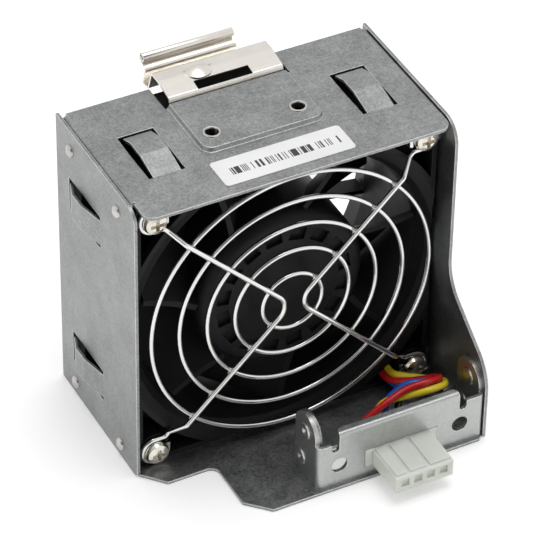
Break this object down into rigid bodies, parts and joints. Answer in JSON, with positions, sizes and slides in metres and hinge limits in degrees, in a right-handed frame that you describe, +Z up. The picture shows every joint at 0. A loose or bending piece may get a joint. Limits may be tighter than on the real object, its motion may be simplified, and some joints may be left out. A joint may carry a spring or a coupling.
{
  "type": "server fan module",
  "caption": "Hot-swap axial fan module: square fan with wire guard in a riveted sheet-steel cradle, with a spring latch on top and a bracket that carries its plug.",
  "frame": {"origin": "underside of the cradle's bottom plate, below the fan's axis, in the plane of the fan's front face", "axes": "+X to the right of someone facing the wire guard, +Y with the air from guard to outlet, +Z up"},
  "size_m": [0.087, 0.0864, 0.0875],
  "materials": {
    "galvanised_sheet": "zinc-coated sheet with a fine speckle, satin",
    "spring_steel": "bright rolled spring steel, slightly warm",
    "zinc_plate": "bright zinc plating, satin",
    "chrome_wire": "bright chromed wire",
    "nickel_screw": "nickel-plated, slightly yellow",
    "rivet_steel": "bright steel",
    "black_moulding": "black glass-filled moulding, semi-matt",
    "white_nylon": "natural nylon, slightly translucent",
    "white_label": "white paper label, bare of text",
    "motor_steel": "ground steel",
    "ferrite": "dark bonded ferrite",
    "brass_tube": "turned brass",
    "copper_wire": "enamelled copper",
    "insulator_plastic": "off-white moulding",
    "circuit_board": "green solder mask",
    "board_chips": "black epoxy",
    "contact_tin": "tin-plated bronze",
    "wire_black": "soft PVC",
    "wire_red": "soft PVC",
    "wire_yellow": "soft PVC",
    "wire_blue": "soft PVC"
  },
  "bodies": {
    "module": {"top_plate": "galvanised_sheet", "bottom_plate": "galvanised_sheet", "left_side_plate": "galvanised_sheet", "right_side_plate": "galvanised_sheet", "side_plate_rivets": "rivet_steel", "latch_foot": "spring_steel", "latch_eyelets": "rivet_steel", "label": "white_label", "connector_bracket": "zinc_plate", "bracket_rivets": "rivet_steel", "connector_housing": "white_nylon", "connector_contacts": "contact_tin", "fan_frame": "black_moulding", "front_bearing": "motor_steel", "rear_bearing": "motor_steel", "bearing_tube": "brass_tube", "preload_spring": "motor_steel", "stator_core": "motor_steel", "front_insulator": "insulator_plastic", "rear_insulator": "insulator_plastic", "coil_windings": "copper_wire", "circuit_board": "circuit_board", "board_parts": "board_chips", "guard_rings": "chrome_wire", "guard_rib_left": "chrome_wire", "guard_rib_right": "chrome_wire", "guard_screws": "nickel_screw", "wire_black": "wire_black", "wire_red": "wire_red", "wire_yellow": "wire_yellow", "wire_blue": "wire_blue"},
    "rotor": {"impeller": "black_moulding", "rotor_yoke": "motor_steel", "rotor_magnet": "ferrite", "shaft": "motor_steel", "shaft_clip": "motor_steel"},
    "latch": {"latch_arm": "spring_steel"}
  },
  "joints": [
    {"name": "impeller_spin", "type": "hinge", "parent": "module", "child": "rotor", "pos_m": [0, 0, 0.0408], "axis": [0, 1, 0], "continuous": true},
    {"name": "latch_press", "type": "hinge", "parent": "module", "child": "latch", "pos_m": [-0.001, 0.0303, 0.082], "axis": [1, 0, 0], "range_deg": [-8, 0], "stiffness_Nm_per_rad": 0.3}
  ]
}
